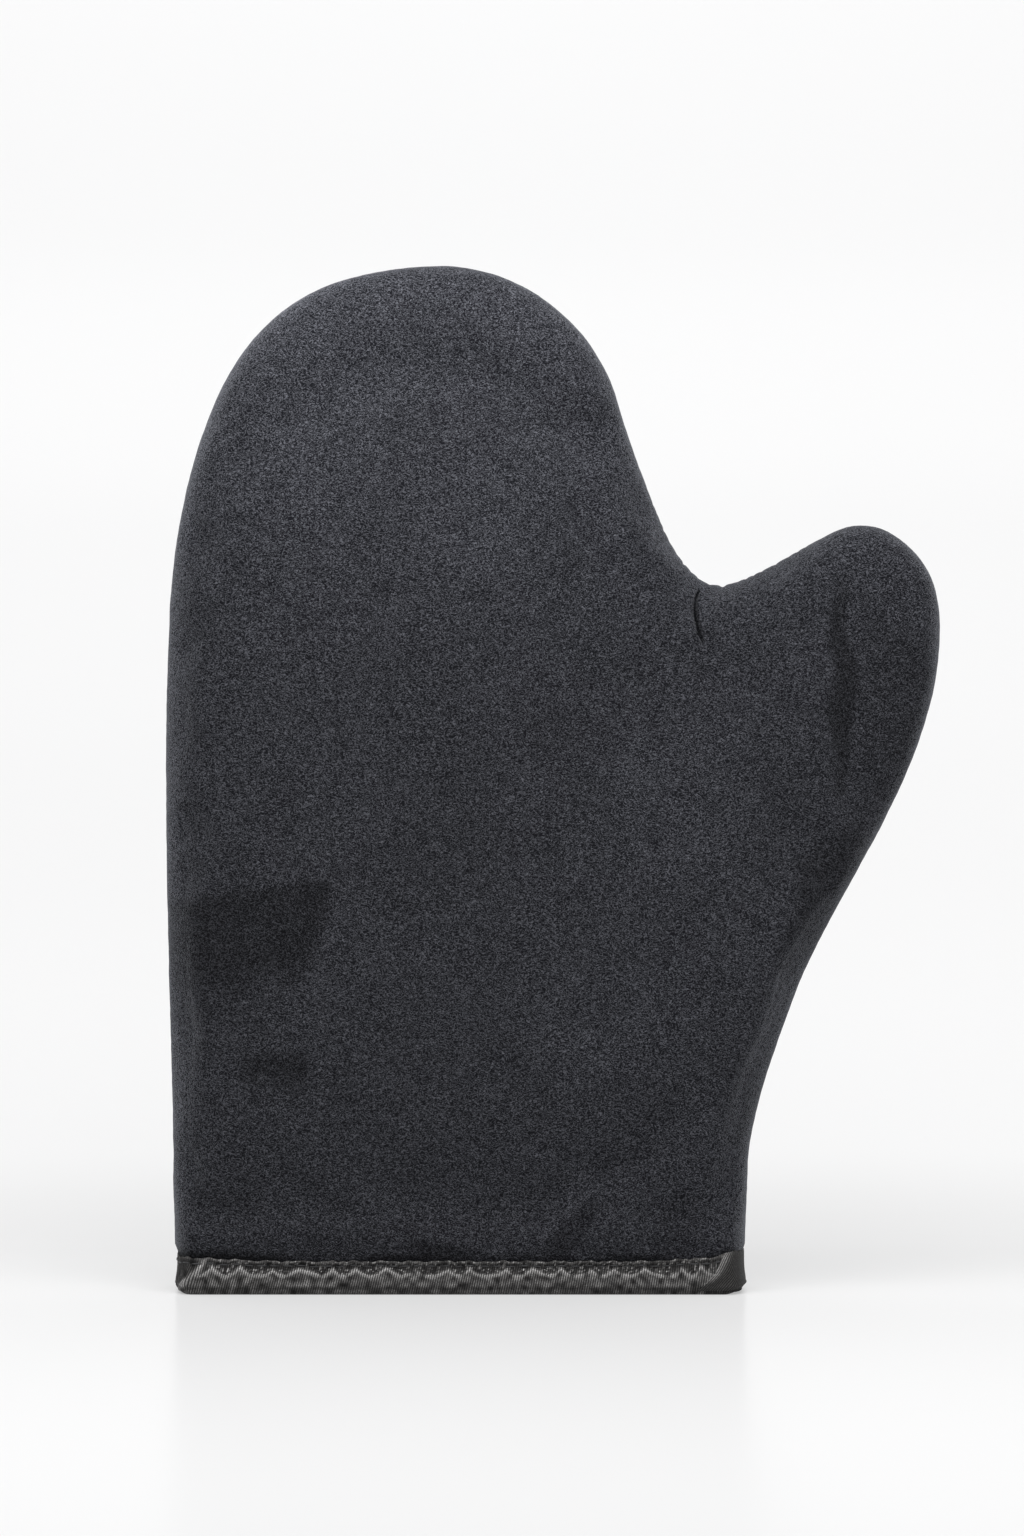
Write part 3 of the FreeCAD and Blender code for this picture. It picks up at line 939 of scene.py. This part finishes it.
def tape_shape(ring, along, offset, z):
    """The tape's offset, height and painted light along the cuff, with puckers, uneven edge and end folds."""
    count = pucker_count(ring, along)
    place = ring.at(ring.high, along)
    right, left = end_folds(ring, along, z)
    calm = smooth_mm(right, 0.5, -3) * smooth_mm(left, 0.5, -2)
    outer = smooth_mm(offset, 0.12, 0.3)
    body = smooth_mm(z, 1.4, 2.6) * smooth_mm(z, 6.9, 6.0)
    cusp = 1 - np.abs(np.sin(math.pi * count)) ** 0.9
    uneven = 0.25 * np.sin(2 * math.pi * 0.37 * count + 1) + 0.2 * np.sin(2 * math.pi * 0.81 * count)
    crest = (4.15 + (1.55 + 0.5 * uneven) * cusp + 0.25 * uneven) * MM
    rise = z - crest
    depth = 0.34 * bell_mm(rise, 0.60) - 0.42 * smooth_mm(rise, 0.2, 1.2)
    depth += 0.10 * np.sin(4 * math.pi * count + 1.3) * bell_mm(z - 3.0 * MM, 1.3)
    folds = 0.45 * bell_mm(right, 0.7) + 0.40 * bell_mm(left, 0.7)
    folds -= 0.35 * smooth_mm(right, 0.4, 3) + 0.30 * smooth_mm(left, 0.4, 2)
    gather = 0.16 * np.sin(4 * math.pi * count + 2.0 + 300 * z) * bell_mm(z - 6.6 * MM, 0.8)
    grown = offset + outer * MM * (body * (depth * calm + folds) + gather * calm)
    ends = smooth(place.real, CUFF_RIGHT - 4 * MM, CUFF_RIGHT)
    ends += smooth(place.real, CUFF_LEFT + 3.5 * MM, CUFF_LEFT)
    flare = (0.12 + 0.40 * smooth_mm(z, 6.0, 2)) * MM
    grown += (flare - grown) * ends * outer * smooth_mm(z, 1.2, 2.2)
    top = smooth_mm(z, 4.5, 7.3)
    wavy = 0.13 * np.sin(2 * math.pi * count + 0.8) + 0.10 * np.sin(4.4 * math.pi * count)
    rises = 0.8 * smooth(place.real, CUFF_LEFT + 26 * MM, CUFF_LEFT)
    rises += (0.75 * smooth_mm(place.real, 18, 36) + 1.35 * smooth_mm(place.real, 33, 41)) * (place.imag < 0)
    # Painted light for the satin's colour: highlights on the crests of the puckers, on the end folds and
    # along the top edge, with glints and specks; painted shade on the end facets past the folds.
    shine = 0.18 + 1.45 * bell_mm(rise, 0.36) + 0.36 * smooth_mm(rise, 0.4, -0.8)
    shine = shine * calm + 0.95 * bell_mm(np.maximum(right, left), 0.8) + 0.25 * (1 - calm)
    # Painted shade on the low band where the tape turns under.
    shine *= 0.62 + 0.38 * smooth_mm(z, 1.5, 2.2)
    glints = bumps(along + 1j * z, 1.5 * MM, 5.0)
    shine *= 1.0 + 1.3 * glints
    band = smooth_mm(z, 5.9, 6.3)
    specks = smooth(bumps(along + 1.5j * z, 0.62 * MM, 9.0), 0.12, 0.45)
    shine += calm * specks * (1.1 * smooth_mm(rise, 0.2, 0.7) + 0.3 * band)
    shine = np.maximum(shine, (0.42 + 0.5 * glints) * smooth_mm(z, 6.7, 7.2))
    corner = smooth(place.real, CUFF_RIGHT - 5 * MM, CUFF_RIGHT)
    corner += 0.9 * smooth(place.real, CUFF_LEFT + 3 * MM, CUFF_LEFT)
    lift = top * (wavy + rises) + 0.9 * corner * smooth_mm(z, 3, 0)
    return grown, z + lift * MM, np.clip(shine, 0.05, 1.5)


def binding_tape(ring, material):
    section = closed_curve([x + 1j * z for x, z in TAPE_SECTION], SECTION_STEP) * MM
    columns = 2 * round(ring.length / RIB)
    even = np.arange(columns) / columns * ring.length
    wave = np.tile([1.0, -1.0], columns // 2)
    rows, rib_groove_shades, satin_painted_lights = [], [], []
    for place in section:
        outside = place.real > -1.5 * MM
        skin = smooth_mm(place.real, 0.16, 0.26) + smooth_mm(place.real, -2.95, -3.1)
        along = even + RIB_SLANT * (TAPE_TOP - place.imag)
        offset, z, shine = tape_shape(ring, along, place.real, place.imag)
        offset = offset + (1 if outside else -1) * wave * RIB_HEIGHT * skin
        rows.append(ring.points(along, offset, z))
        # Painted shade between the ribs, weaker near the top edge; the inner side gets an even middle value
        # of painted light.
        rib_groove_shades.append(0.5 + 0.5 * wave * max(skin, 0.6) * (1 - 0.65 * smooth_mm(place.imag, 6.3, 7.0)))
        satin_painted_lights.append(shine if outside else 0.5 + 0 * shine)
    index = np.arange(len(rows) * columns).reshape(len(rows), columns)
    faces = []
    for a, b in zip(index, np.roll(index, -1, 0)):
        faces += list(zip(a, b, np.roll(b, -1), np.roll(a, -1)))
    piece = new_piece("binding_tape_ribbed", np.concatenate(rows), faces, material)
    store(piece, "rib", np.concatenate(rib_groove_shades))
    store(piece, "shine", np.concatenate(satin_painted_lights))
    return piece


def binding_lap(ring, material):
    """The tape's other end, folded on a slant and laid over the first, round the thumb-side corner."""
    heights = np.concatenate([np.linspace(0.9, 6.9, 25), np.linspace(7.15, 7.5, 4)]) * MM
    shares = np.linspace(0, 1, LAP_COLUMNS)
    back = -LAP_WRAP
    tape_heights = np.array([1.2, 1.8, 4, 5.5, 6.6]) * MM
    tape_offsets = np.array([0.6, 1.04, 1.04, 0.8, 0.64]) * MM
    outer, inner, rib_groove_shades, satin_painted_lights = [], [], [], []
    for z in heights:
        start = LAP_START - 1.0 * (z - 3.5 * MM)
        along = back + (start - back) * shares
        under = np.interp(z, tape_heights, tape_offsets)
        offset, level, _ = tape_shape(ring, along, under, z)
        edge = smooth(shares, 1.0, 0.92) * smooth(shares, 0.0, 0.05)
        tuck = smooth_mm(z, 0.8, 2.0) * smooth_mm(z, 7.6, 6.8)
        raised = offset + 0.34 * MM * edge * tuck
        outer.append(ring.points(along, raised, level))
        inner.append(ring.points(along, offset - 0.06 * MM, level))
        # Painted shade between the ribs, and a painted highlight along the lap's slanted folded edge.
        rib_groove_shades.append(0.5 + 0.5 * np.cos(math.pi * np.arange(LAP_COLUMNS)))
        satin_painted_lights.append(0.24 + 0.9 * bell_mm(start - along, 1.2) * smooth_mm(z, 2.5, 4))
    count = len(heights) * len(shares)
    index = np.arange(count).reshape(len(heights), len(shares))
    faces = []
    for a, b in zip(index, index[1:]):
        faces += list(zip(a, a[1:], b[1:], b))
    faces += [tuple(count + v for v in reversed(face)) for face in faces]
    rim = np.concatenate([index[0, :-1], index[:-1, -1], index[-1, :0:-1], index[:0:-1, 0]])
    faces += [(b, a, count + a, count + b) for a, b in zip(rim, np.roll(rim, -1))]
    piece = new_piece("binding_lap_folded", np.concatenate(outer + inner), faces, material)
    store(piece, "rib", np.concatenate(rib_groove_shades + rib_groove_shades))
    store(piece, "shine", np.concatenate(satin_painted_lights + satin_painted_lights))
    return piece


# ---------------- stitches
SEAM_STITCH_IN = 1.0 * MM  # the side seam's stitches, past the wall and off the middle plane
SEAM_STITCH_OUT = 1.86 * MM


def stitch_tree():
    """Geometry nodes: lockstitches laid end to end along the edges of a line, slightly uneven."""
    tree = bpy.data.node_groups.new("lockstitches", "GeometryNodeTree")
    sizes = {"Pitch": 3.0 * MM, "Stitch Length": 2.4 * MM, "Thread Thickness": 0.35 * MM, "Unevenness": 0.12}
    add_sockets(tree, "INPUT", "Geometry", {"Geometry": None})
    add_sockets(tree, "INPUT", "Float", sizes)
    add_sockets(tree, "INPUT", "Int", {"Seed": 3})
    add_sockets(tree, "INPUT", "Material", {"Material": None})
    add_sockets(tree, "OUTPUT", "Geometry", {"Geometry": None})
    add = node_maker(tree)
    given = add("NodeGroupInput").outputs
    curve = add("GeometryNodeMeshToCurve", None, {"Mesh": given["Geometry"]}).outputs[0]
    inputs = {"Curve": curve, "Length": given["Pitch"]}
    resample = add("GeometryNodeResampleCurve", {"mode": "LENGTH"}, inputs)
    tangent = add("GeometryNodeInputTangent").outputs[0]
    turn = add("FunctionNodeAlignRotationToVector", {"axis": "X"}, {"Vector": tangent}).outputs[0]
    low = math_node(add, "SUBTRACT", 1.0, given["Unevenness"])
    high = math_node(add, "ADD", 1.0, given["Unevenness"])
    uneven = add("FunctionNodeRandomValue", {"data_type": "FLOAT"})
    for socket in uneven.inputs:
        if socket.enabled and socket.name in ("Min", "Max", "Seed"):
            tree.links.new({"Min": low, "Max": high, "Seed": given["Seed"]}[socket.name], socket)
    factor = [socket for socket in uneven.outputs if socket.enabled][0]
    half_length = times(add, times(add, given["Stitch Length"], 0.5), factor)
    half_thick = times(add, given["Thread Thickness"], 0.5)
    size = add("ShaderNodeCombineXYZ", None, {0: half_length, 1: half_thick, 2: half_thick}).outputs[0]
    ball = add("GeometryNodeMeshUVSphere", None, {"Segments": 10, "Rings": 9, "Radius": 1.0}).outputs[0]
    inputs = {"Points": resample.outputs[0], "Instance": ball, "Rotation": turn, "Scale": size}
    placed = add("GeometryNodeInstanceOnPoints", None, inputs).outputs[0]
    solid = add("GeometryNodeRealizeInstances", None, {0: placed}).outputs[0]
    solid = add("GeometryNodeSetShadeSmooth", None, {0: solid}).outputs[0]
    inputs = {"Geometry": solid, "Material": given["Material"]}
    painted = add("GeometryNodeSetMaterial", None, inputs).outputs[0]
    tree.links.new(painted, add("NodeGroupOutput").inputs[0])
    return tree


def stitches(name, tree, points, closed, material, **sizes):
    """A row of stitches along this line of points, as one plain mesh."""
    line = bpy.data.meshes.new(name + "_line")
    count = len(points)
    edges = [(k, (k + 1) % count) for k in range(count if closed else count - 1)]
    line.from_pydata(np.asarray(points).tolist(), edges, [])
    guide = add_object(name + "_line", line)
    modifier = guide.modifiers.new("stitches", "NODES")
    modifier.node_group = tree
    values = {"Material": material}
    values.update({label.replace("_", " "): value for label, value in sizes.items()})
    for item in tree.interface.items_tree:
        if item.in_out == "INPUT" and item.name in values:
            modifier[item.identifier] = values[item.name]
    guide.update_tag()
    made = guide.evaluated_get(bpy.context.evaluated_depsgraph_get())
    mesh = bpy.data.meshes.new_from_object(made)
    bpy.data.objects.remove(guide)
    mesh.name = name
    return add_object(name, mesh)


def seam_line(side):
    """The stitch line inside the mitt, on this panel's side of the seam allowance."""
    edge, inward = outline(1.0 * MM)
    keep = edge.imag > 9 * MM
    place = (edge + inward * (WALL + SEAM_STITCH_IN))[keep]
    y = np.full(len(place), (-1 if side == 0 else 1) * SEAM_STITCH_OUT)
    return np.stack([place.real, y, place.imag], 1)


# ---------------- building
def finish_piece(piece, nodes, body="hand"):
    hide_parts(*nodes)
    if body:
        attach(piece, body)


def bend_at_thumb(piece):
    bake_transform(piece)


def main():
    add_camera()
    add_lights()
    add_stage()
    fine = Skin(VELOUR_STEP, CREASE_STEP)
    plain = Skin(HIDDEN_STEP)
    loose = Skin(SETTLE_STEP)
    shift = settle(loose)
    finishes = {"velour": velour(), "foam": foam(), "barrier_film": barrier_film(), "lining": lining()}
    for side, word in enumerate(("front", "back")):
        carried = {id(skin): carry(shift[side], loose, skin) for skin in (fine, plain)}
        for layer in LAYERS:
            slot, cad, *_ = layer
            skin = fine if slot == "velour" else plain
            piece = shell(f"{slot}_panel_{word}", skin, layer, side, carried[id(skin)], finishes[slot])
            if slot == "velour":
                points = np.array([v.co for v in piece.data.vertices])
                edge_share = np.zeros(len(points))
                edge_share[:len(skin.turn_share)] = skin.turn_share
                # The velour's uneven tone, with its painted light and shade.
                store(piece, "nap", tone_and_painted_light_level(points, edge_share, side))
            finish_piece(piece, [f"{cad}_{word}", f"thumb_{cad}_{word}"], None)
            bend_at_thumb(piece)
    thread = sewing_thread()
    tree = stitch_tree()
    for side, word in enumerate(("front", "back")):
        row = stitches(f"seam_stitches_{word}", tree, seam_line(side), False, thread, Seed=side)
        finish_piece(row, [f"seam_thread_{word}", f"thumb_seam_thread_{word}"], None)
        bend_at_thumb(row)
    ring = CuffRing()
    tape_material = satin()
    finish_piece(binding_tape(ring, tape_material), ["binding_tape"])
    finish_piece(binding_lap(ring, tape_material), ["binding_lap"])
    along = np.linspace(0, ring.length, 600, endpoint=False)
    for word, outside, lift in (("outer", 0.26 * MM, 0.10 * MM), ("inner", -3.30 * MM, -0.12 * MM)):
        offset, z, _ = tape_shape(ring, along, outside, TAPE_STITCH)
        line = ring.points(along, offset + lift, z)
        sizes = {"Seed": 7, "Thread_Thickness": 0.4 * MM}
        row = stitches(f"binding_stitches_{word}", tree, line, True, thread, **sizes)
        finish_piece(row, [f"binding_thread_{word}"])


main()
